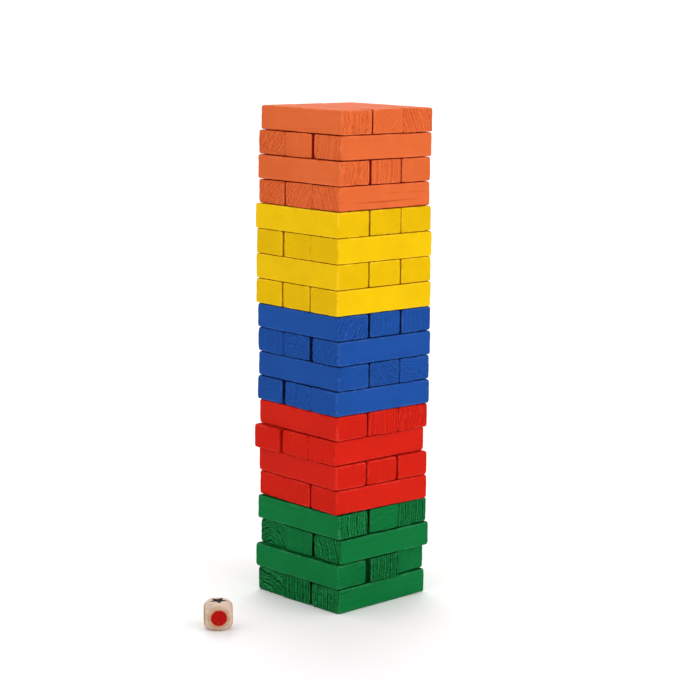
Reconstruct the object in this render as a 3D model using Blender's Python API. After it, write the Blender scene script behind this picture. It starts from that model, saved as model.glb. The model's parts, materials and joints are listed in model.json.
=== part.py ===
"""Giant tumbling tower: twenty courses of three painted wooden blocks, and the wooden colour die of the game.

Metres, +Z up. The origin is the middle of the tower's underside. Odd courses run along X and even courses along Y.
"near" is the block of a course that lies closest to the corner at low X and low Y, and "far" the one furthest from it.
"""

import math

import bmesh
import bpy
from mathutils import Matrix, Vector

MM = 0.001

GAP = 0.3 * MM  # clearance over every course, so that each block is free to slide
EDGE_ROUND = 2.0 * MM  # rounding of every long and short edge of a block
EDGE_STEPS = 2
COURSES_PER_COLOUR = 4
PLACES = ("near", "middle", "far")

# Each colour is one batch of timber, so its blocks share a length, a width and a course height, in millimetres.
BATCHES = {
    "green": {"length": 188.0, "width": 60.9, "height": 38.3, "colour": (0.003, 0.150, 0.035)},
    "red": {"length": 186.5, "width": 60.7, "height": 37.9, "colour": (0.580, 0.012, 0.005)},
    "blue": {"length": 189.5, "width": 61.2, "height": 37.9, "colour": (0.010, 0.067, 0.300)},
    "yellow": {"length": 191.0, "width": 62.2, "height": 38.6, "colour": (0.780, 0.490, 0.002)},
    "orange": {"length": 186.5, "width": 60.5, "height": 37.3, "colour": (0.690, 0.128, 0.032)},
}
PAINT_ROUGHNESS = 0.5

# The stack from the bottom course up: how the course is turned (degrees) and shifted (mm), the two gaps between
# its blocks (mm), and how far each block is pushed along its own length (mm), near, middle and far.
COURSES = (
    {"turn": 2.2, "shift": (-0.5, -0.6), "gaps": (3.7, -0.1), "push": (0.0, 0.4, 2.6)},
    {"turn": 1.8, "shift": (-1.0, 0.0), "gaps": (7.3, 0.4), "push": (0.0, -2.6, 5.0)},
    {"turn": 0.8, "shift": (4.0, -2.8), "gaps": (3.6, 0.4), "push": (0.4, -0.6, 0.8)},
    {"turn": 1.2, "shift": (1.2, 0.4), "gaps": (4.4, 0.4), "push": (-0.4, 0.6, 0.0)},
    {"turn": -1.0, "shift": (2.0, -0.7), "gaps": (2.4, 1.2), "push": (0.0, -0.5, 0.6)},
    {"turn": -1.0, "shift": (0.9, -0.7), "gaps": (2.3, 1.9), "push": (0.0, 0.6, -0.3)},
    {"turn": 0.1, "shift": (-1.6, 2.7), "gaps": (0.4, 2.8), "push": (-1.2, -1.4, -4.4)},
    {"turn": -1.0, "shift": (0.9, -1.1), "gaps": (3.1, 0.5), "push": (0.0, 0.8, 0.4)},
    {"turn": -1.2, "shift": (0.6, -0.5), "gaps": (0.4, 5.9), "push": (0.0, 0.2, -0.5)},
    {"turn": -0.3, "shift": (0.8, -0.4), "gaps": (2.1, 0.9), "push": (0.0, 0.5, -0.2)},
    {"turn": -0.5, "shift": (0.9, -0.5), "gaps": (6.7, 0.5), "push": (0.0, 0.7, 0.4)},
    {"turn": -0.3, "shift": (0.0, -0.5), "gaps": (4.1, 3.0), "push": (-0.4, 0.5, 0.3)},
    {"turn": -0.6, "shift": (-1.7, -0.5), "gaps": (2.0, 2.4), "push": (0.0, 0.4, -0.3)},
    {"turn": -0.4, "shift": (-1.2, 0.6), "gaps": (2.0, 1.9), "push": (0.0, 0.4, 0.1)},
    {"turn": -0.5, "shift": (-0.6, 0.5), "gaps": (0.8, 3.5), "push": (0.0, 0.3, 0.0)},
    {"turn": 0.1, "shift": (-1.5, 2.0), "gaps": (3.1, 1.0), "push": (0.0, 0.5, 0.2)},
    {"turn": 0.2, "shift": (-1.2, 0.8), "gaps": (0.4, 3.4), "push": (0.0, -0.6, 0.5)},
    {"turn": 0.5, "shift": (-1.5, 1.3), "gaps": (4.8, 1.4), "push": (-0.5, 0.5, 0.0)},
    {"turn": 0.3, "shift": (0.2, 1.1), "gaps": (5.6, 0.4), "push": (0.0, 0.6, -0.4)},
    {"turn": -0.3, "shift": (0.8, -0.6), "gaps": (3.0, 0.4), "push": (-0.6, 0.6, 0.2)},
)
# The middle and far blocks of the bottom course touch and carry the stack, so they are one solid.
FIXED_PAIR = "course_01_green_middle_and_far"

DIE_SIDE = 42.0 * MM
DIE_BALL_RADIUS = 0.62 * DIE_SIDE  # the cube's corners are turned off to this ball
DIE_CENTRE = (-0.269, -0.030)
DIE_TURN = 54.7  # degrees
DIE_WOOD = (0.640, 0.450, 0.270)
DIE_ROUGHNESS = 0.6


def clear_scene():
    for item in list(bpy.data.objects):
        bpy.data.objects.remove(item)


def wood_material(name, colour, roughness):
    material = bpy.data.materials.new(name)
    material.use_nodes = True
    shader = material.node_tree.nodes["Principled BSDF"]
    shader.inputs["Base Color"].default_value = (*colour, 1.0)
    shader.inputs["Roughness"].default_value = roughness
    shader.inputs["Metallic"].default_value = 0.0
    return material


def add_object(name, mesh, place):
    item = bpy.data.objects.new(name, mesh)
    bpy.context.scene.collection.objects.link(item)
    item.matrix_world = place
    return item


def hide_helper(item):
    """A helper shapes another object and isn't part of the model."""
    item.hide_render = True
    item.display_type = "WIRE"


def block_mesh(name, length, width, height, material):
    """A block with rounded edges, long axis X, centred on the origin."""
    shape = bmesh.new()
    bmesh.ops.create_cube(shape, size=1.0)
    bmesh.ops.scale(shape, vec=(length, width, height), verts=shape.verts)
    bmesh.ops.bevel(
        shape, geom=shape.edges[:], offset=EDGE_ROUND, segments=EDGE_STEPS, profile=0.5, affect="EDGES"
    )
    mesh = bpy.data.meshes.new(name)
    shape.to_mesh(mesh)
    shape.free()
    mesh.materials.append(material)
    mesh.shade_smooth()
    mesh.set_sharp_from_angle(angle=math.radians(50))
    return mesh


def across_places(width, gaps):
    """Where the middle lines of a course's three blocks lie across it, with the course centred on zero."""
    places = [width / 2]
    for gap in gaps:
        places.append(places[-1] + width + gap * MM)
    centre = (places[-1] + width / 2) / 2
    return [place - centre for place in places]


def course_layout(number, batch):
    """The three placements of a course: each one's centre in plan, and the angle of its long axis."""
    course = COURSES[number - 1]
    along_x = number % 2 == 1
    turn = math.radians(course["turn"])
    heading = turn if along_x else turn + math.pi / 2
    long_way = Vector((math.cos(heading), math.sin(heading)))
    across_way = Vector((-long_way.y, long_way.x)) if along_x else Vector((long_way.y, -long_way.x))
    middle = Vector(course["shift"]) * MM
    places = across_places(batch["width"] * MM, course["gaps"])
    centres = [middle + across_way * place + long_way * push * MM for place, push in zip(places, course["push"])]
    return centres, heading


def build_course(number, colour, mesh, base):
    """The blocks of one course, standing on the height base."""
    batch = BATCHES[colour]
    centres, heading = course_layout(number, batch)
    level = base + (batch["height"] * MM - GAP) / 2
    blocks = {}
    for place, centre in zip(PLACES, centres):
        placement = Matrix.Translation((centre.x, centre.y, level)) @ Matrix.Rotation(heading, 4, "Z")
        blocks[place] = add_object(f"course_{number:02d}_{colour}_{place}", mesh, placement)
    return blocks


def join_fixed_pair(blocks):
    """The bottom course's middle and far blocks become the one solid that everything else stands on."""
    pair = blocks["middle"]
    pair.name = FIXED_PAIR
    hide_helper(blocks["far"])
    union = pair.modifiers.new("far block", "BOOLEAN")
    union.operation = "UNION"
    union.solver = "EXACT"
    union.object = blocks["far"]


def build_tower():
    base = 0.0
    number = 0
    for colour, batch in BATCHES.items():
        paint = wood_material(f"{colour}_paint", batch["colour"], PAINT_ROUGHNESS)
        size = (batch["length"] * MM, batch["width"] * MM, batch["height"] * MM - GAP)
        mesh = block_mesh(f"{colour}_block", *size, paint)
        for _ in range(COURSES_PER_COLOUR):
            number += 1
            blocks = build_course(number, colour, mesh, base)
            if number == 1:
                join_fixed_pair(blocks)
            base += batch["height"] * MM


def build_die():
    """A cube whose corners and edges are turned off to a ball, which leaves a round flat on each face."""
    wood = wood_material("die_wood", DIE_WOOD, DIE_ROUGHNESS)
    placement = Matrix.Translation((*DIE_CENTRE, DIE_SIDE / 2)) @ Matrix.Rotation(math.radians(DIE_TURN), 4, "Z")
    meshes = {}
    for name in ("die", "die_ball"):
        shape = bmesh.new()
        if name == "die":
            bmesh.ops.create_cube(shape, size=DIE_SIDE)
        else:
            bmesh.ops.create_uvsphere(shape, u_segments=32, v_segments=16, radius=DIE_BALL_RADIUS)
        meshes[name] = bpy.data.meshes.new(name)
        shape.to_mesh(meshes[name])
        shape.free()
        meshes[name].materials.append(wood)
    die = add_object("colour_die", meshes["die"], placement)
    ball = add_object("die_ball", meshes["die_ball"], placement)
    hide_helper(ball)
    turning = die.modifiers.new("turned corners", "BOOLEAN")
    turning.operation = "INTERSECT"
    turning.solver = "EXACT"
    turning.object = ball


clear_scene()
build_tower()
build_die()
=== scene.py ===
"""Looks of the giant tumbling tower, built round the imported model.

Each CAD block is replaced by a detailed block: rounded and slightly knocked edges, end grain that stands in
relief, and opaque satin paint that lets the wood's structure through. The colour die is turned from pale bare
wood, with a printed mark on each face. Lengths are in metres, in the row frame, and sizes and places are read
from the CAD nodes.
"""

import itertools
import json
import math
from dataclasses import dataclass

import bpy
import numpy as np
from mathutils import Matrix, Vector


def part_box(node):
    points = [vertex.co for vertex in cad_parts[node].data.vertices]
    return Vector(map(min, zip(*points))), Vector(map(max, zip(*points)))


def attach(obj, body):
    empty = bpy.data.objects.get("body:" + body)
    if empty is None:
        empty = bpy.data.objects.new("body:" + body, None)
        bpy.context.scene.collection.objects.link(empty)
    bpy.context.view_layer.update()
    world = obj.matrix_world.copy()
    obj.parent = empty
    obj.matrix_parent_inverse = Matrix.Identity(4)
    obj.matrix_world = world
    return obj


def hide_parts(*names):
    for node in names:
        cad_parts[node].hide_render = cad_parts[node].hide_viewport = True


MM = 0.001
PLACES = ("near", "middle", "far")
FIXED_PAIR = "course_01_green_middle_and_far"
DIE_NODE = "colour_die"

# Camera: where it stands, and how its view is turned from level along +X.
CAMERA_PLACE = (-2.0382, -2.2726, 0.9076)
CAMERA_HEADING = math.radians(47.916)
CAMERA_DOWN = math.radians(9.722)
CAMERA_ROLL = math.radians(0.693)
CAMERA_LENS = 102.98  # mm
CAMERA_SENSOR = 36.0  # mm

# Stage: a pale floor, an even white surround and two broad suns, as the way to each, its strength and spread.
FLOOR_COLOUR = (0.90, 0.90, 0.90, 1.0)
FLOOR_REACH = 40.0
SURROUND_STRENGTH = 1.01
SUNS = {
    "key": ((0.30, -0.95, 0.36), 0.78, math.radians(60)),
    "back": ((0.67, 0.74, 1.0), 0.95, math.radians(40)),
}

# Paint, in linear colours: the open faces, the grooves of the grain, and the painted shade where two blocks
# meet.
# Then the usual rounding of the edges and the ease of the beds in mm, how far a whole end face goes towards
# the grooves' colour, and how strongly its grain shows.
PAINTS = {
    "orange": {
        "base": (0.690, 0.131, 0.033),
        "deep": (0.330, 0.030, 0.003),
        "joint": (0.330, 0.0070, 0.0002),
        "edge": 2.2,
        "ease": 0.45,
        "end_shade": 0.07,
        "contrast": 0.70,
    },
    "yellow": {
        "base": (0.780, 0.490, 0.0005),
        "deep": (0.430, 0.220, 0.0002),
        "joint": (0.440, 0.2150, 0.0004),
        "edge": 2.0,
        "ease": 0.10,
        "end_shade": 0.20,
        "contrast": 0.60,
    },
    "blue": {
        "base": (0.0100, 0.0680, 0.305),
        "deep": (0.0030, 0.0170, 0.100),
        "joint": (0.0018, 0.0065, 0.040),
        "edge": 2.7,
        "ease": 0.16,
        "end_shade": 0.03,
        "contrast": 0.85,
    },
    "red": {
        "base": (0.585, 0.0130, 0.0048),
        "deep": (0.270, 0.0030, 0.0010),
        "joint": (0.400, 0.0060, 0.0008),
        "edge": 2.7,
        "ease": 0.10,
        "end_shade": 0.06,
        "contrast": 0.75,
    },
    "green": {
        "base": (0.0028, 0.160, 0.0370),
        "deep": (0.0003, 0.020, 0.0040),
        "joint": (0.0001, 0.0035, 0.0003),
        "edge": 2.7,
        "ease": 0.36,
        "end_shade": 0.08,
        "contrast": 1.15,
    },
}
WHITE = (1.0, 1.0, 1.0)

# How the growth rings cross an end face. The pith lies (right, up) of the face's middle, in mm, as one looks
# at the end that faces low X or low Y; then the ring spacing in mm and how far the rings wander, in mm.
GRAINS = {
    "plain": {"pith": (60, -240), "spacing": 6.5, "wander": 2.0},
    "bars": {"pith": (260, 10), "spacing": 4.6, "wander": 1.1},
    "fine_bars": {"pith": (-260, 8), "spacing": 3.4, "wander": 0.9},
    "even_bars": {"pith": (-260, 6), "spacing": 7.0, "wander": 1.0},
    "broad_bars": {"pith": (-200, 22), "spacing": 9.0, "wander": 2.6},
    "slash": {"pith": (120, -80), "spacing": 4.4, "wander": 2.2},
    "backslash": {"pith": (-210, -80), "spacing": 4.6, "wander": 1.3},
    "arch": {"pith": (-6, -24), "spacing": 4.8, "wander": 2.2},
    "swirl": {"pith": (44, -34), "spacing": 5.2, "wander": 3.0},
    "rings": {"pith": (40, 34), "spacing": 3.2, "wander": 1.2},
    "waves": {"pith": (-22, -62), "spacing": 6.4, "wander": 2.5},
}

# Growth rings and their relief (0 smooth, 1 deep) on each course's near, middle and far block, from the
# bottom course up.
END_GRAIN = (
    (("fine_bars", 1.60), ("bars", 0.95), ("waves", 1.20)),
    (("plain", 0.15), ("fine_bars", 1.00), ("slash", 0.25)),
    (("backslash", 1.10), ("fine_bars", 0.35), ("arch", 1.05)),
    (("bars", 1.00), ("plain", 0.18), ("fine_bars", 0.90)),
    (("plain", 0.15), ("fine_bars", 0.45), ("plain", 0.12)),
    (("plain", 0.10), ("broad_bars", 0.12), ("plain", 0.10)),
    (("broad_bars", 0.12), ("plain", 0.08), ("plain", 0.10)),
    (("plain", 0.12), ("even_bars", 0.45), ("broad_bars", 0.50)),
    (("plain", 0.12), ("broad_bars", 0.35), ("plain", 0.15)),
    (("plain", 0.20), ("rings", 0.85), ("waves", 0.35)),
    (("swirl", 0.45), ("arch", 0.55), ("broad_bars", 0.25)),
    (("slash", 0.95), ("broad_bars", 0.25), ("bars", 0.40)),
    (("plain", 0.08), ("swirl", 0.16), ("plain", 0.08)),
    (("swirl", 0.12), ("plain", 0.08), ("slash", 0.14)),
    (("plain", 0.10), ("swirl", 0.16), ("plain", 0.08)),
    (("plain", 0.08), ("plain", 0.10), ("plain", 0.08)),
    (("backslash", 0.80), ("slash", 0.70), ("swirl", 0.70)),
    (("broad_bars", 0.60), ("even_bars", 0.60), ("plain", 0.15)),
    (("broad_bars", 0.45), ("plain", 0.10), ("slash", 0.90)),
    (("broad_bars", 0.60), ("slash", 0.35), ("backslash", 0.70)),
)
# How strongly streaks show on the long sides of single blocks. The others have a share of their end's relief.
SIDE_GRAIN = {"course_17_orange_near": 1.0, "course_01_green_near": 0.7}
SIDE_GRAIN_SHARE = 0.12
COORDINATE_SHIFT = 50.0  # each block's paint is moved by up to this many metres, so that no two blocks match

# The blocks' grid.
EDGE_STEPS = 3  # grid lines from a flat face to the middle of a rounded edge
FACE_STEP = 1.05 * MM  # grid across the blocks
LENGTH_STEP = 9.0 * MM  # grid along the blocks, away from their ends
END_ZONE = 9.0 * MM  # stretch behind each end face with a closer grid
END_ZONE_LINES = 4
END_ZONE_BIAS = 1.6  # how much these lines crowd towards the end face

# Edges: their rounding, the slow wear along them, and the dents in them as (low, high) of reach and depth.
SHARPEST_EDGE = 0.6 * MM  # rounding where two neighbours sit tight
EDGE_GROWTH = 1.6  # how fast that rounding grows with the gap between the two
RADIUS_CHANGE = 8.0 * MM  # the low side's rounding turns into the high side's this close to the middle
EDGE_BAND = (-0.8 * MM, 0.4 * MM)  # an edge begins and is in full here, past the flat faces
WEAR_DEPTH = 0.34 * MM
WEAR_SIZE = 13 * MM
BLUNTEST_SPARED = 1.7 * MM  # corners of edges rounded less than this stay as they are
CORNER_REACH, CORNER_DEPTH = (2.6, 4.6), (0.3, 1.4)  # mm, and shares of the blunting
DENTS = (3, 7)
DENT_REACH, DENT_DEPTH = (1.6, 3.2), (0.2, 0.6)  # mm

# Beds: they are eased in full up to the first distance from their rims and not at all from the second.
EASE_RIM = (1.5 * MM, 7.0 * MM)
EASE_SIZE = 60 * MM  # of the unevenness of that

# Growth rings and the relief that they make.
PITH_SPREAD = 0.12  # how far a pith strays from its place in GRAINS, as a share
LOG_LEAN = 0.03  # how far a pith leans from the block's long axis, in radians
RING_STRETCH = (0.16, 1.0, 1.0)  # rings wander this much slower along the block
RING_SIZES = (26 * MM, 22 * MM, 9 * MM)  # of the wander across, of that up, and of the ripple
RING_DEPTH = 0.55 * MM  # deepest relief of the end grain
STREAK_DEPTH = 0.10 * MM  # the same rings, where they run out along the sides
PIT_DEPTH = 0.12 * MM
PIT_SIZE = 2.6 * MM

# Joints: the gaps between which a joint goes from unshaded to darkened by painted shade, and how far in it
# reaches.
TIGHT_GAP = 0.45 * MM
OPEN_GAP = 1.8 * MM
SIDE_SHADE_REACH = (3.3 * MM, 11.0 * MM)  # in full up to the first, none from the second
BED_SHADE_REACH = (2.2 * MM, 7.7 * MM)
FACES_SIDE = (0.75, 0.97)  # how squarely a surface faces a neighbour to be on its side, from none to wholly
FACES_BED = (0.88, 0.99)
SEAM_CLEARANCE = 0.25 * MM  # between the two blocks that share a CAD solid

# Die: its turn, and the radii of its ball, flats, discs and star as shares of its side.
DIE_TURN = math.radians(54.7)
DIE_BALL = 0.62
DIE_FLAT = math.sqrt(DIE_BALL**2 - 0.25)
DIE_DISC = 0.283
DIE_STAR = 0.345
DIE_STAR_WAIST = 0.50  # the star's inner radius as a share of its outer one
DIE_STAR_TURN = 62  # angular steps from the die's own axis to a tip of the star
DIE_STEPS = 120  # angular steps round each face
DIE_MARK_RINGS = 4  # rings of polygons that fill a mark
DIE_CRISPNESS = 70.0  # how sharply a flat meets the ball
DIE_RIM_RINGS = (0.93, 0.96, 0.985, 1.0, 1.015, 1.04, 1.08)  # closer rings where the flat meets the ball
DIE_CORNER_RINGS = 9  # rings from there out to where the six faces meet
DIE_STAIN_REACH = 1.45  # the warm stain round a disc ends here, in radii of the flat
DIE_MARKS = {  # (axis, side) of each face
    (0, -1): "red",
    (0, 1): "yellow",
    (1, -1): "blue",
    (1, 1): "green",
    (2, -1): "orange",
    (2, 1): "star",
}
MARK_COLOURS = {
    "red": (0.385, 0.0040, 0.0024),
    "yellow": (0.800, 0.480, 0.010),
    "blue": (0.014, 0.065, 0.300),
    "green": (0.010, 0.150, 0.045),
    "orange": (0.720, 0.150, 0.030),
    "star": (0.0040, 0.0035, 0.0030),
}
DIE_WOOD = (0.600, 0.465, 0.370)
DIE_WOOD_DEEP = (0.420, 0.270, 0.165)
DIE_STAIN = (0.410, 0.205, 0.098)


# ---------------------------------------------------------------- shapes in numbers


def waves(points, seed, size, count=9):
    """A smooth random field over points, roughly from -1 to 1, whose features are about size across."""
    rng = np.random.default_rng(seed)
    directions = rng.normal(size=(count, 3))
    directions /= np.linalg.norm(directions, axis=1)[:, None]
    pitches = (2 * math.pi / size) * rng.uniform(0.45, 1.3, count)
    phases = rng.uniform(0, 2 * math.pi, count)
    total = np.sin(points @ (directions * pitches[:, None]).T + phases).sum(axis=1)
    return total / math.sqrt(count)


def smooth(values, low, high):
    """0 below low, 1 above high, with an even ramp between."""
    share = np.clip((values - low) / (high - low), 0, 1)
    return share * share * (3 - 2 * share)


def rounding_lines(radius):
    """Distances past a flat face's edge at which the grid lines round the edge stand at equal angles."""
    angles = np.linspace(0, math.pi / 4, EDGE_STEPS + 1)
    return radius * np.tan(angles)[1:]


def grid_lines(half, radii, step, end_zone=0.0):
    """Grid lines along one axis of a block, from -half to half, with the rounding radius of its two ends."""
    low, high = half - radii[0] - end_zone, half - radii[1] - end_zone
    inner = np.linspace(-low, high, max(2, round((low + high) / step)) + 1)
    if end_zone:
        closer = end_zone * (1 - np.linspace(1, 0, END_ZONE_LINES + 1)[1:] ** END_ZONE_BIAS)
        inner = np.concatenate([-(low + closer)[::-1], inner, high + closer])
    low_edge = half - radii[0] + rounding_lines(radii[0])
    high_edge = half - radii[1] + rounding_lines(radii[1])
    return np.concatenate([-low_edge[::-1], inner, high_edge])


def box_grid(lines):
    """Points on a box's surface at the three axes' grid lines, and the quads between them, facing out."""
    counts = [len(axis) for axis in lines]
    surface = np.zeros(counts, bool)
    for axis in range(3):
        for side in (0, -1):
            pick = [slice(None)] * 3
            pick[axis] = side
            surface[tuple(pick)] = True
    number = np.full(counts, -1)
    number[surface] = np.arange(surface.sum())
    places = np.argwhere(surface)
    points = np.stack([lines[axis][places[:, axis]] for axis in range(3)], axis=1)
    quads = []
    for axis in range(3):
        for side in (0, -1):
            face = np.take(number, side, axis=axis)
            corners = [face[:-1, :-1], face[1:, :-1], face[1:, 1:], face[:-1, 1:]]
            flip = (side == 0) != (axis == 1)
            if flip:
                corners.reverse()
            quads.append(np.stack([c.ravel() for c in corners], axis=1))
    return points, np.concatenate(quads)


def round_off(points, half, radius):
    """Moves a box's surface points onto the box with rounded edges. Also returns their outward directions."""
    flat = half - radius[:, None]
    inner = np.clip(points, -flat, flat)
    out = points - inner
    out /= np.linalg.norm(out, axis=1)[:, None]
    return inner + out * radius[:, None], out


def ring_count(points, grain, jitter, seed):
    """Growth rings between the pith and each point. The pith runs nearly along X."""
    rng = np.random.default_rng(seed)
    pith = np.array(grain["pith"], float) * MM * (1 + PITH_SPREAD * jitter)
    lean = rng.normal(scale=LOG_LEAN, size=2)
    stretched = points * np.array(RING_STRETCH)
    wander = grain["wander"] * MM * 0.5
    aside, up, ripple = (waves(stretched, seed + 1 + index, size) for index, size in enumerate(RING_SIZES))
    y = points[:, 1] + pith[0] + lean[0] * points[:, 0] + wander * aside
    z = points[:, 2] - pith[1] + lean[1] * points[:, 0] + wander * up
    rings = np.hypot(y, z) / (grain["spacing"] * MM)
    rings += 0.30 * np.sin(1.7 * rings + rng.uniform(0, 2 * math.pi))
    return rings + 0.07 * grain["wander"] * ripple


def groove_depth(rings):
    """0 on the hard late wood of each ring, up to 1 in the soft wood between."""
    share = rings - np.floor(rings)
    return np.clip(np.sin(math.pi * share) ** 0.8 - 0.15 * np.sin(2 * math.pi * share), 0, 1)


def knock_edges(points, edge, half, usual, seed):
    """How far the handled edges are pressed in: a slow wear along them, blunted corners and a few dents.

    usual is the rounding of the edges. The rounder they are, the blunter are the corners.
    """
    rng = np.random.default_rng(seed)
    wear = WEAR_DEPTH * np.clip(0.45 + 0.6 * waves(points, seed + 5, WEAR_SIZE), 0, 1) * edge
    corners = [half * signs for signs in itertools.product((-1.0, 1.0), repeat=3)]
    blunting = usual - BLUNTEST_SPARED
    dents = []
    for corner in corners:
        dents.append((corner, rng.uniform(*CORNER_REACH) * MM, rng.uniform(*CORNER_DEPTH) * blunting))
    for _ in range(rng.integers(*DENTS)):
        spot = half * rng.choice([-1.0, 1.0], 3)
        spot[rng.integers(1, 3)] *= rng.uniform(-1, 1)
        dents.append((spot, rng.uniform(*DENT_REACH) * MM, rng.uniform(*DENT_DEPTH) * MM))
    for spot, reach, depth in dents:
        away = np.linalg.norm(points - spot, axis=1)
        wear += depth * np.exp(-((away / reach) ** 2))
    return wear


def ease_beds(points, flat_points, half, ease, seed):
    """How far the top and bottom faces fall away near their edges, unevenly, as sanded timber does."""
    inward = (half - np.abs(flat_points))[:, :2].min(axis=1)
    fall = 1 - smooth(inward, *EASE_RIM)
    depth = ease * np.clip(0.85 + 0.55 * waves(points, seed + 9, EASE_SIZE, 6), 0.15, 1.5)
    return np.sign(points[:, 2]) * depth * fall * smooth(np.abs(points[:, 2]), 0.0, half[2])


def side_shade_share(gap):
    """How far a joint takes painted shade, by its gap. A tight one takes none, and nor does an outer side."""
    return 0.0 if math.isinf(gap) else float(smooth(gap, TIGHT_GAP, OPEN_GAP))


def joint_painted_shade(flat_points, out, half, gaps, has_block_above):
    """0 on open faces, up to 1 near the rims of the faces that meet another block: painted shade in the joints.

    It is laid at the block's ends, along an outer side, and along the top where no block lies above. gaps are
    those beside the block, on the low Y and the high Y side.
    """
    inward = half - np.abs(flat_points)
    upward = 0.60 * np.maximum(out[:, 2], 0)
    on_side = np.zeros(len(out))
    side_rim = inward[:, 0] if has_block_above else np.minimum(inward[:, 0], inward[:, 2])
    bed_rim = inward[:, 0]
    for sign, gap in zip((-1, 1), gaps):
        on_side += smooth(upward + sign * out[:, 1], *FACES_SIDE) * side_shade_share(gap)
        if math.isinf(gap):
            bed_rim = np.minimum(bed_rim, half[1] - sign * flat_points[:, 1])
    on_bed = smooth(-out[:, 2], *FACES_BED) + smooth(out[:, 2], *FACES_BED) * has_block_above
    side_share = on_side * (1 - smooth(side_rim, *SIDE_SHADE_REACH))
    bed_share = on_bed * (1 - smooth(bed_rim, *BED_SHADE_REACH))
    return np.maximum(side_share, bed_share)


# ---------------------------------------------------------------- meshes


def mesh_from(name, points, faces, layers=None):
    """A smooth mesh. layers are numbers for the material to read, one for all points or one for each."""
    mesh = bpy.data.meshes.new(name)
    mesh.from_pydata(points.tolist(), [], faces)
    for layer, values in (layers or {}).items():
        made = mesh.attributes.new(layer, "FLOAT", "POINT")
        made.data.foreach_set("value", np.broadcast_to(values, len(points)).astype(np.float32))
    mesh.shade_smooth()
    mesh.update()
    return mesh


def block_mesh(name, size, radii, ease, gaps, has_block_above, grain_name, relief, seed):
    """A detailed block, long axis X, centred on the origin. Its surface never leaves the CAD block's.

    radii are the rounding of its edges on the low Y and the high Y side, and gaps those beside it there.
    """
    rng = np.random.default_rng(seed)
    half = np.array(size) / 2
    usual = max(radii)
    lines = (
        grid_lines(half[0], (usual, usual), LENGTH_STEP, END_ZONE),
        grid_lines(half[1], radii, FACE_STEP),
        grid_lines(half[2], (usual, usual), FACE_STEP),
    )
    flat_points, quads = box_grid(lines)
    radius = radii[0] + (radii[1] - radii[0]) * smooth(flat_points[:, 1], -RADIUS_CHANGE, RADIUS_CHANGE)
    past = np.sort(np.abs(flat_points) - (half - radius[:, None]), axis=1)[:, 1]
    edge = smooth(past, *EDGE_BAND)
    points, out = round_off(flat_points, half, radius)
    end = smooth(np.abs(out[:, 0]), 0.35, 0.85)
    rings = ring_count(points, GRAINS[grain_name], rng.uniform(-1, 1), seed)
    depth = groove_depth(rings)
    pits = np.clip(waves(points, seed + 7, PIT_SIZE, 14), 0, 1)
    pressed = end * relief * (RING_DEPTH * depth + PIT_DEPTH * pits)
    pressed += (1 - end) * (0.25 + 0.75 * relief) * STREAK_DEPTH * depth
    pressed += knock_edges(points, edge, half, usual, seed)
    points = points - out * pressed[:, None]
    points[:, 2] -= ease_beds(points, flat_points, half, ease, seed)
    layers = {
        "rings": rings,
        "end": end,
        "edge": edge,
        "relief": relief,
        "joint_shade": joint_painted_shade(flat_points, out, half, gaps, has_block_above),
        "side_grain": SIDE_GRAIN.get(name, SIDE_GRAIN_SHARE * relief),
        "tone": rng.uniform(-1, 1),
        "shift": rng.uniform(0, COORDINATE_SHIFT),
    }
    return mesh_from(name, points, quads.tolist(), layers)


def star_outline(step):
    """A five-pointed star's radius at an angular step, as a share of its outer radius."""
    turn = 2 * math.pi * (step - DIE_STAR_TURN) / DIE_STEPS
    from_tip = abs((turn + math.pi / 5) % (2 * math.pi / 5) - math.pi / 5)
    valley = math.pi / 5
    across = DIE_STAR_WAIST * math.sin(valley - from_tip) + math.sin(from_tip)
    return DIE_STAR_WAIST * math.sin(valley) / across


def die_rings(mark):
    """Rings of a die face from its middle outwards, each as radii on the plane of the face, in half sides.

    The first DIE_MARK_RINGS rings fill the mark, and the last one is the square where the six faces meet.
    """
    turns = 2 * math.pi * np.arange(DIE_STEPS) / DIE_STEPS
    square = 1 / np.maximum(np.abs(np.cos(turns)), np.abs(np.sin(turns)))
    if mark == "star":
        outline = 2 * DIE_STAR * np.array([star_outline(step) for step in range(DIE_STEPS)])
    else:
        outline = np.full(DIE_STEPS, 2 * DIE_DISC)
    flat = np.full(DIE_STEPS, 2 * DIE_FLAT)
    rim = [flat * share for share in DIE_RIM_RINGS]
    rings = [outline * share for share in np.linspace(0, 1, DIE_MARK_RINGS + 1)[1:]]
    rings += [outline + (rim[0] - outline) * share for share in (0.35, 0.7)]
    rings += rim
    rings += [rim[-1] + (square - rim[-1]) * share for share in np.linspace(0, 1, DIE_CORNER_RINGS + 1)[1:]]
    return rings


def die_face_points(rings, axis, sign):
    """A die face's middle and rings as points on a cube of half side 1, and how far out on the face each is."""
    turns = 2 * math.pi * np.arange(DIE_STEPS) / DIE_STEPS
    across = np.concatenate([[0.0], *(ring * np.cos(turns) for ring in rings)])
    up = np.concatenate([[0.0], *(ring * np.sin(turns) for ring in rings)])
    points = np.zeros((len(across), 3))
    points[:, axis] = sign
    points[:, (axis + 1) % 3] = across * sign
    points[:, (axis + 2) % 3] = up
    return points, np.hypot(across, up)


def ring_faces(first, count):
    """Triangles round point number first, then quads between count rings of points that follow it."""
    faces = []
    for index in range(count):
        outer = first + 1 + index * DIE_STEPS
        inner = outer - DIE_STEPS
        for step in range(DIE_STEPS):
            after = (step + 1) % DIE_STEPS
            if index == 0:
                faces.append((first, outer + step, outer + after))
            else:
                faces.append((inner + step, outer + step, outer + after, inner + after))
    return faces


def turn_to_ball(points, side):
    """Draws the points of a cube in to a die of that side, its corners and edges turned off to a ball."""
    ways = points / np.linalg.norm(points, axis=1)[:, None]
    toward_face = np.abs(ways).max(axis=1)
    reach = ((2 * toward_face) ** DIE_CRISPNESS + (1 / DIE_BALL) ** DIE_CRISPNESS) ** (-1 / DIE_CRISPNESS)
    return ways * reach[:, None] * side


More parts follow.
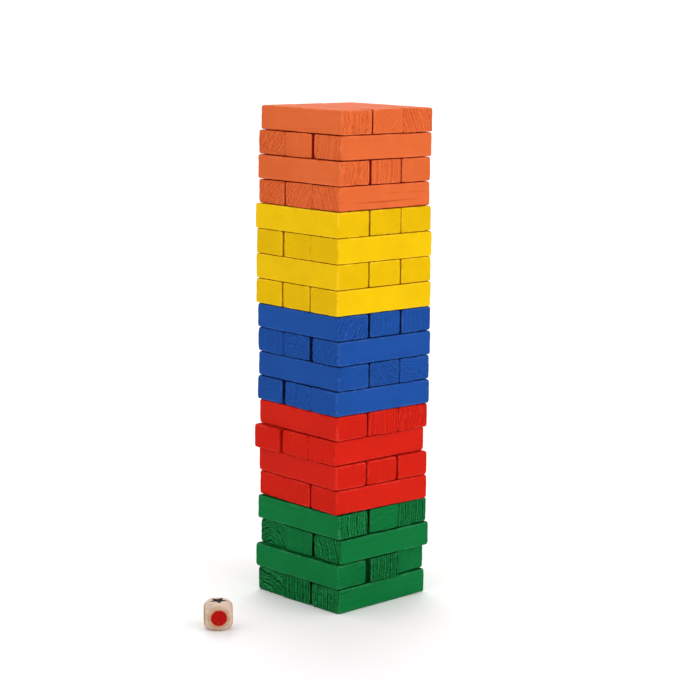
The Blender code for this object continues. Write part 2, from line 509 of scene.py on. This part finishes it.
def die_mesh(side):
    """The die about its own middle: six flats on a ball, with each mark as polygons of their own material."""
    points, faces, slots, stains = [], [], [], []
    count = 0
    in_mark = DIE_MARK_RINGS * DIE_STEPS
    for slot, ((axis, sign), mark) in enumerate(DIE_MARKS.items(), start=1):
        rings = die_rings(mark)
        face_points, from_middle = die_face_points(rings, axis, sign)
        points.append(face_points)
        from_disc = (from_middle / 2 - DIE_DISC) / (DIE_STAIN_REACH * DIE_FLAT - DIE_DISC)
        stains.append(np.clip(1 - from_disc, 0, 1) * (mark != "star"))
        made = ring_faces(count, len(rings))
        faces += made
        slots += [slot] * in_mark + [0] * (len(made) - in_mark)
        count += len(face_points)
    places = turn_to_ball(np.concatenate(points), side)
    _, first_of, number = np.unique(np.round(places, 7), axis=0, return_index=True, return_inverse=True)
    number = number.reshape(-1)
    merged = [[int(number[corner]) for corner in face] for face in faces]
    mesh = mesh_from("colour_die", places[first_of], merged, {"stain": np.concatenate(stains)[first_of]})
    mesh.polygons.foreach_set("material_index", slots)
    return mesh


# ---------------------------------------------------------------- materials


class Nodes:
    """Short forms for building one material's node tree. A value is a number, a colour or a node's socket."""

    def __init__(self, name):
        self.material = bpy.data.materials.new(name)
        self.material.use_nodes = True
        self.tree = self.material.node_tree
        self.shader = self.tree.nodes["Principled BSDF"]

    def node(self, kind, **settings):
        made = self.tree.nodes.new(kind)
        for key, value in settings.items():
            setattr(made, key, value)
        return made

    def feed(self, socket, value):
        if isinstance(value, bpy.types.NodeSocket):
            self.tree.links.new(value, socket)
        else:
            socket.default_value = value

    def math(self, operation, a, b=0.0):
        made = self.node("ShaderNodeMath", operation=operation)
        self.feed(made.inputs[0], a)
        self.feed(made.inputs[1], b)
        return made.outputs[0]

    def add(self, *values):
        total = values[0]
        for value in values[1:]:
            total = self.math("ADD", total, value)
        return total

    def times(self, *values):
        total = values[0]
        for value in values[1:]:
            total = self.math("MULTIPLY", total, value)
        return total

    def layer(self, name):
        return self.node("ShaderNodeAttribute", attribute_name=name).outputs["Fac"]

    def ramp(self, value, low, high, to_low=0.0, to_high=1.0):
        """Carries a value between low and high smoothly over to to_low and to_high."""
        made = self.node("ShaderNodeMapRange", interpolation_type="SMOOTHSTEP")
        for socket, number in zip(made.inputs[0:5], (value, low, high, to_low, to_high)):
            self.feed(socket, number)
        return made.outputs[0]

    def noise(self, vector, scale, detail=2.0, roughness=0.5):
        """Noise with about scale features to a metre, or scale 1 on a vector that is stretched already."""
        made = self.node("ShaderNodeTexNoise")
        self.feed(made.inputs["Vector"], vector)
        self.feed(made.inputs["Scale"], scale)
        self.feed(made.inputs["Detail"], detail)
        self.feed(made.inputs["Roughness"], roughness)
        return made.outputs["Fac"]

    def stretch(self, vector, scale):
        made = self.node("ShaderNodeVectorMath", operation="MULTIPLY")
        self.feed(made.inputs[0], vector)
        self.feed(made.inputs[1], scale)
        return made.outputs[0]

    def blend(self, share, under, over):
        made = self.node("ShaderNodeMix", data_type="RGBA")
        self.feed(made.inputs["Factor"], share)
        for socket, value in ((made.inputs[6], under), (made.inputs[7], over)):
            self.feed(socket, value if isinstance(value, bpy.types.NodeSocket) else (*value, 1.0))
        return made.outputs[2]

    def coats(self, under, *coats):
        """Lays colours over one another. Each coat is (how much of it shows, its colour)."""
        for share, colour in coats:
            under = self.blend(share, under, colour)
        return under

    def bump(self, height_mm):
        made = self.node("ShaderNodeBump")
        made.inputs["Strength"].default_value = 1.0
        made.inputs["Distance"].default_value = MM
        self.feed(made.inputs["Height"], height_mm)
        self.feed(self.shader.inputs["Normal"], made.outputs["Normal"])

    def block_coordinates(self):
        """Object coordinates in metres, moved by the block's own shift."""
        place = self.node("ShaderNodeTexCoord").outputs["Object"]
        moved = self.node("ShaderNodeVectorMath", operation="ADD")
        self.feed(moved.inputs[0], place)
        self.feed(moved.inputs[1], self.layer("shift"))
        return moved.outputs[0]


def scaled(colour, share):
    return tuple(min(1.0, channel * share) for channel in colour)


def toward(colour, other, share):
    return tuple(a + (b - a) * share for a, b in zip(colour, other))


def wood_of_rings(make, place):
    """How much each point of the rings is hard late wood, in broken dashes, and how much is soft wood."""
    ragged = make.add(make.layer("rings"), make.times(make.noise(place, 260.0, 2.0), 0.30))
    wave = make.math("COSINE", make.times(ragged, 2 * math.pi))
    dashes = make.ramp(make.noise(place, 210.0, 2.0, 0.6), 0.36, 0.62, 0.30, 1.0)
    late_wood = make.times(make.ramp(wave, 0.05, 0.85), dashes)
    return late_wood, make.ramp(make.times(wave, -1.0), -0.2, 0.9)


def paint_material(colour):
    """Opaque satin paint over planed wood, with fibres along the sides, rough end grain and edge wear.

    Painted highlights lighten the edges and the end grain's soft wood, and painted shade darkens the joints.
    """
    base, deep, joint = (PAINTS[colour][key] for key in ("base", "deep", "joint"))
    end_shade, contrast = (PAINTS[colour][key] for key in ("end_shade", "contrast"))
    make = Nodes(f"{colour}_paint")
    place = make.block_coordinates()
    end, edge, relief, side_grain = (make.layer(name) for name in ("end", "edge", "relief", "side_grain"))
    side = make.math("SUBTRACT", 1.0, end)
    patches = make.noise(place, 42.0, 4.0, 0.55)
    fibres = make.noise(make.stretch(place, (9.0, 330.0, 330.0)), 1.0, 4.0, 0.6)
    streaks = make.noise(make.stretch(place, (5.0, 150.0, 150.0)), 1.0, 2.0, 0.5)
    saw_marks = make.noise(make.stretch(place, (50.0, 90.0, 900.0)), 1.0, 2.0, 0.5)
    late_wood, soft_wood = wood_of_rings(make, place)

    clouds = make.ramp(make.noise(place, 9.0, 2.0, 0.5), 0.45, 0.70, 0.0, 0.22)
    tone = make.ramp(make.layer("tone"), -1.0, 1.0, 0.0, 0.16)
    grain = make.add(end_shade, make.times(relief, 0.08), make.times(relief, late_wood, 0.80 * contrast))
    pores = make.times(relief, make.ramp(make.noise(place, 640.0, 1.0, 0.4), 0.60, 0.72), 0.50 * contrast)
    # Paler soft wood in the end grain, lightened further towards white as a painted highlight.
    soft_wood_highlight = make.times(relief, soft_wood, make.ramp(saw_marks, 0.42, 0.62), 0.60 * contrast)
    fibre_lines = make.times(make.ramp(fibres, 0.52, 0.80), make.add(0.08, make.times(relief, 0.16)))
    side_streaks = make.times(side_grain, make.ramp(streaks, 0.58, 0.70), 0.62)
    # Wear on the edges, lightened further as a painted highlight where the rounding would catch the light.
    wear_and_edge_highlight = make.times(edge, make.ramp(patches, 0.38, 0.66), 0.45)
    specks = make.ramp(make.noise(place, 420.0, 1.0, 0.4), 0.64, 0.72)
    chips = make.times(make.ramp(edge, 0.55, 0.95), specks, 0.60)
    # Painted shade: the rims of faces that meet another block go towards the joint colour, in uneven patches.
    shade_patches = make.ramp(make.noise(place, 60.0, 3.0, 0.6), 0.34, 0.54, 0.55, 0.98)
    joint_shade = make.times(make.layer("joint_shade"), shade_patches)
    paint = make.coats(
        scaled(base, 0.965),
        (make.ramp(patches, 0.3, 0.7), scaled(base, 1.03)),
        (clouds, toward(base, deep, 0.5)),
        (tone, scaled(base, 0.82)),
        (make.times(end, grain), deep),
        (make.times(end, pores), deep),
        (make.times(end, soft_wood_highlight), toward(scaled(base, 1.50), WHITE, 0.015)),
        (make.times(side, fibre_lines), deep),
        (make.times(side, side_streaks), deep),
        (wear_and_edge_highlight, toward(scaled(base, 1.20), WHITE, 0.03)),
        (chips, toward(scaled(base, 1.35), WHITE, 0.07)),
        (joint_shade, joint),
    )
    make.feed(make.shader.inputs["Base Color"], paint)
    rough = make.add(0.46, make.times(end, 0.14), make.times(patches, 0.10), make.times(edge, 0.05))
    make.feed(make.shader.inputs["Roughness"], rough)
    make.shader.inputs["Specular IOR Level"].default_value = 0.03
    height = make.add(
        make.times(make.noise(place, 620.0, 2.0, 0.5), 0.05),
        make.times(fibres, side, make.add(0.05, make.times(relief, 0.08))),
        make.times(end, relief, late_wood, -0.22),
        make.times(end, relief, saw_marks, 0.12),
        make.times(side, side_grain, streaks, -0.25),
    )
    make.bump(height)
    return make.material


def die_wood_material():
    """Pale sanded beech: soft bands along local Y, short fine flecks, and a warm stain round the discs."""
    make = Nodes("die_wood")
    place = make.node("ShaderNodeTexCoord").outputs["Object"]
    bands = make.noise(make.stretch(place, (210.0, 26.0, 210.0)), 1.0, 4.0, 0.55)
    flecks = make.noise(make.stretch(place, (1500.0, 330.0, 1500.0)), 1.0, 2.0, 0.5)
    wood = make.coats(
        scaled(DIE_WOOD, 1.06),
        (make.ramp(bands, 0.35, 0.68), toward(DIE_WOOD, DIE_WOOD_DEEP, 0.35)),
        (make.ramp(make.noise(place, 70.0, 3.0, 0.5), 0.4, 0.7, 0.0, 0.30), scaled(DIE_WOOD, 1.15)),
        (make.ramp(flecks, 0.60, 0.72, 0.0, 0.55), DIE_WOOD_DEEP),
        (make.times(make.layer("stain"), make.ramp(bands, 0.2, 0.6, 0.6, 1.0)), DIE_STAIN),
    )
    make.feed(make.shader.inputs["Base Color"], wood)
    make.feed(make.shader.inputs["Roughness"], make.add(0.55, make.times(bands, 0.15)))
    make.shader.inputs["Specular IOR Level"].default_value = 0.15
    make.bump(make.add(make.times(flecks, -0.05), make.times(bands, 0.04)))
    return make.material


def mark_material(mark):
    """Stamp ink on the die, slightly cloudy, with the wood's pores showing through as pale pricks."""
    base = MARK_COLOURS[mark]
    make = Nodes(f"die_{mark}_ink")
    place = make.node("ShaderNodeTexCoord").outputs["Object"]
    pores = make.noise(make.stretch(place, (900.0, 420.0, 900.0)), 1.0, 2.0, 0.5)
    clouds = make.noise(place, 160.0, 3.0, 0.5)
    ink = make.coats(
        scaled(base, 0.90),
        (make.ramp(clouds, 0.35, 0.7), scaled(base, 1.10)),
        (make.ramp(pores, 0.62, 0.70, 0.0, 0.40), toward(base, DIE_WOOD, 0.5)),
    )
    make.feed(make.shader.inputs["Base Color"], ink)
    make.feed(make.shader.inputs["Roughness"], make.add(0.45, make.times(clouds, 0.2)))
    make.shader.inputs["Specular IOR Level"].default_value = 0.03
    make.bump(make.times(pores, -0.04))
    return make.material


# ---------------------------------------------------------------- blocks


@dataclass
class Block:
    """One wooden block as it lies: its CAD body, the CAD node that it stands for, and its upright box."""

    name: str
    body: str
    node: str | None
    centre: Vector
    size: np.ndarray
    heading: float

    @property
    def course(self):
        return int(self.name.split("_")[1])

    @property
    def colour(self):
        return self.name.split("_")[2]

    @property
    def place(self):
        return PLACES.index(self.name.split("_")[3])

    @property
    def across(self):
        """Where the block lies along its own local Y axis."""
        return self.centre.y * math.cos(self.heading) - self.centre.x * math.sin(self.heading)


def node_points(node):
    return np.array([vertex.co for vertex in frame["nodes"][node].data.vertices], float)


def plan_turn(heading):
    """The turn in plan that brings a heading to the X axis."""
    return np.array(Matrix.Rotation(-heading, 3, "Z"))


def box_in_row_frame(low, high, heading):
    """The centre (in the row frame) and size of a box whose corners are given along and across a heading."""
    return Vector(plan_turn(heading).T @ ((low + high) / 2)), high - low


def find_sliding_blocks():
    """The blocks that have a CAD body of their own, with their slide's axis as their heading."""
    blocks = []
    for joint in frame["joints"]:
        body = joint["child"]
        if body == DIE_NODE:
            continue
        heading = math.atan2(joint["axis"][1], joint["axis"][0])
        turned = node_points(body) @ plan_turn(heading).T
        centre, size = box_in_row_frame(turned.min(axis=0), turned.max(axis=0), heading)
        blocks.append(Block(body, body, body, centre, size, heading))
    return blocks


def find_fixed_blocks(heading):
    """The two blocks that the CAD model holds as one solid, parted again along their shared seam."""
    turned = node_points(FIXED_PAIR) @ plan_turn(heading).T
    across = turned[:, 1]
    seam = (across.min() + across.max()) / 2
    parts = {"middle": turned[across < seam - MM], "far": turned[across > seam + MM]}
    blocks = []
    for place, corners in parts.items():
        low, high = corners.min(axis=0), corners.max(axis=0)
        if place == "middle":
            high[1] = seam - SEAM_CLEARANCE / 2
        else:
            low[1] = seam + SEAM_CLEARANCE / 2
        centre, size = box_in_row_frame(low, high, heading)
        node = FIXED_PAIR if place == "middle" else None
        blocks.append(Block(f"course_01_green_{place}", "standing_pair", node, centre, size, heading))
    return blocks


def gaps_beside(row):
    """The gaps beside each block of one course, on its low Y and high Y side, infinite on an outer side."""
    gaps = [math.inf]
    for one, other in zip(row, row[1:]):
        gaps.append(other.across - one.across - (one.size[1] + other.size[1]) / 2)
    gaps.append(math.inf)
    return list(zip(gaps, gaps[1:]))


def side_radius(gap, usual):
    """The rounding of an edge that stands at a gap: sharp where the neighbour sits tight."""
    return min(usual, SHARPEST_EDGE + EDGE_GROWTH * max(0.0, gap - TIGHT_GAP))


def add_block(block, gaps, has_block_above):
    usual = PAINTS[block.colour]["edge"] * MM
    radii = [side_radius(gap, usual) for gap in gaps]
    grain_name, relief = END_GRAIN[block.course - 1][block.place]
    seed = 1000 * block.course + 17 * (block.place + 1)
    ease = PAINTS[block.colour]["ease"] * MM
    mesh = block_mesh(block.name, block.size, radii, ease, gaps, has_block_above, grain_name, relief, seed)
    piece = bpy.data.objects.new(block.name + "_block", mesh)
    bpy.context.scene.collection.objects.link(piece)
    piece.matrix_world = Matrix.Translation(block.centre) @ Matrix.Rotation(block.heading, 4, "Z")
    mesh.materials.append(paints[block.colour])
    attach(piece, block.body)
    if block.node:
        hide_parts(block.node)


def add_blocks():
    blocks = find_sliding_blocks()
    bottom_heading = min(blocks, key=lambda block: block.course).heading
    blocks += find_fixed_blocks(bottom_heading)
    top_course = max(block.course for block in blocks)
    for course in range(1, top_course + 1):
        row = sorted((block for block in blocks if block.course == course), key=lambda block: block.across)
        for block, gaps in zip(row, gaps_beside(row)):
            add_block(block, gaps, course < top_course)


def add_die():
    low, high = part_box(DIE_NODE)
    side = high[2] - low[2]
    mesh = die_mesh(side)
    mesh.materials.append(die_wood_material())
    for mark in DIE_MARKS.values():
        mesh.materials.append(mark_material(mark))
    piece = bpy.data.objects.new("die", mesh)
    bpy.context.scene.collection.objects.link(piece)
    centre = (Vector(low) + Vector(high)) / 2
    piece.matrix_world = Matrix.Translation(centre) @ Matrix.Rotation(DIE_TURN, 4, "Z")
    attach(piece, DIE_NODE)
    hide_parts(DIE_NODE)


# ---------------------------------------------------------------- stage


def add_camera():
    heading = Matrix.Rotation(CAMERA_HEADING - math.pi / 2, 4, "Z")
    tilt = Matrix.Rotation(math.pi / 2 - CAMERA_DOWN, 4, "X")
    roll = Matrix.Rotation(CAMERA_ROLL, 4, "Z")
    camera = bpy.data.objects.new("camera", bpy.data.cameras.new("camera"))
    camera.data.lens = CAMERA_LENS
    camera.data.sensor_width = CAMERA_SENSOR
    camera.matrix_world = Matrix.Translation(CAMERA_PLACE) @ heading @ tilt @ roll
    bpy.context.scene.collection.objects.link(camera)
    bpy.context.scene.camera = camera


def add_floor():
    material = bpy.data.materials.new("floor")
    material.use_nodes = True
    shader = material.node_tree.nodes["Principled BSDF"]
    shader.inputs["Base Color"].default_value = FLOOR_COLOUR
    shader.inputs["Roughness"].default_value = 0.9
    shader.inputs["Specular IOR Level"].default_value = 0.0
    corners = FLOOR_REACH * np.array([(-1, -1, 0), (1, -1, 0), (1, 1, 0), (-1, 1, 0)])
    floor = bpy.data.objects.new("floor", mesh_from("floor", corners, [(0, 1, 2, 3)]))
    floor.data.materials.append(material)
    bpy.context.scene.collection.objects.link(floor)


def add_sun(name, toward_sun, strength, spread):
    light = bpy.data.objects.new(name, bpy.data.lights.new(name, "SUN"))
    light.data.energy = strength
    light.data.angle = spread
    light.rotation_euler = Vector(toward_sun).to_track_quat("Z", "Y").to_euler()
    bpy.context.scene.collection.objects.link(light)


def add_lighting():
    world = bpy.data.worlds.new("studio")
    bpy.context.scene.world = world
    world.use_nodes = True
    background = world.node_tree.nodes["Background"]
    background.inputs["Color"].default_value = (1, 1, 1, 1)
    background.inputs["Strength"].default_value = SURROUND_STRENGTH
    for name, (toward_sun, strength, spread) in SUNS.items():
        add_sun(name, toward_sun, strength, spread)
    bpy.context.scene.view_settings.view_transform = "Standard"


# ---------------------------------------------------------------- the object

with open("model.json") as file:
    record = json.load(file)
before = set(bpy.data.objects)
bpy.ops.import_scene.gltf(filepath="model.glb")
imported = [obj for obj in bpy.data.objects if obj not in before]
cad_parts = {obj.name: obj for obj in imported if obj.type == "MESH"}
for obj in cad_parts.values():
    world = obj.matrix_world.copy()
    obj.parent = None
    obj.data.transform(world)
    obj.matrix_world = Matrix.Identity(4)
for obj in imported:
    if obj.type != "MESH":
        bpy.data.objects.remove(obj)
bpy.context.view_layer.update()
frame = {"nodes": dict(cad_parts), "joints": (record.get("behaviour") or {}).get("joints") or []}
add_camera()
add_lighting()
add_floor()
paints = {colour: paint_material(colour) for colour in PAINTS}
add_blocks()
add_die()
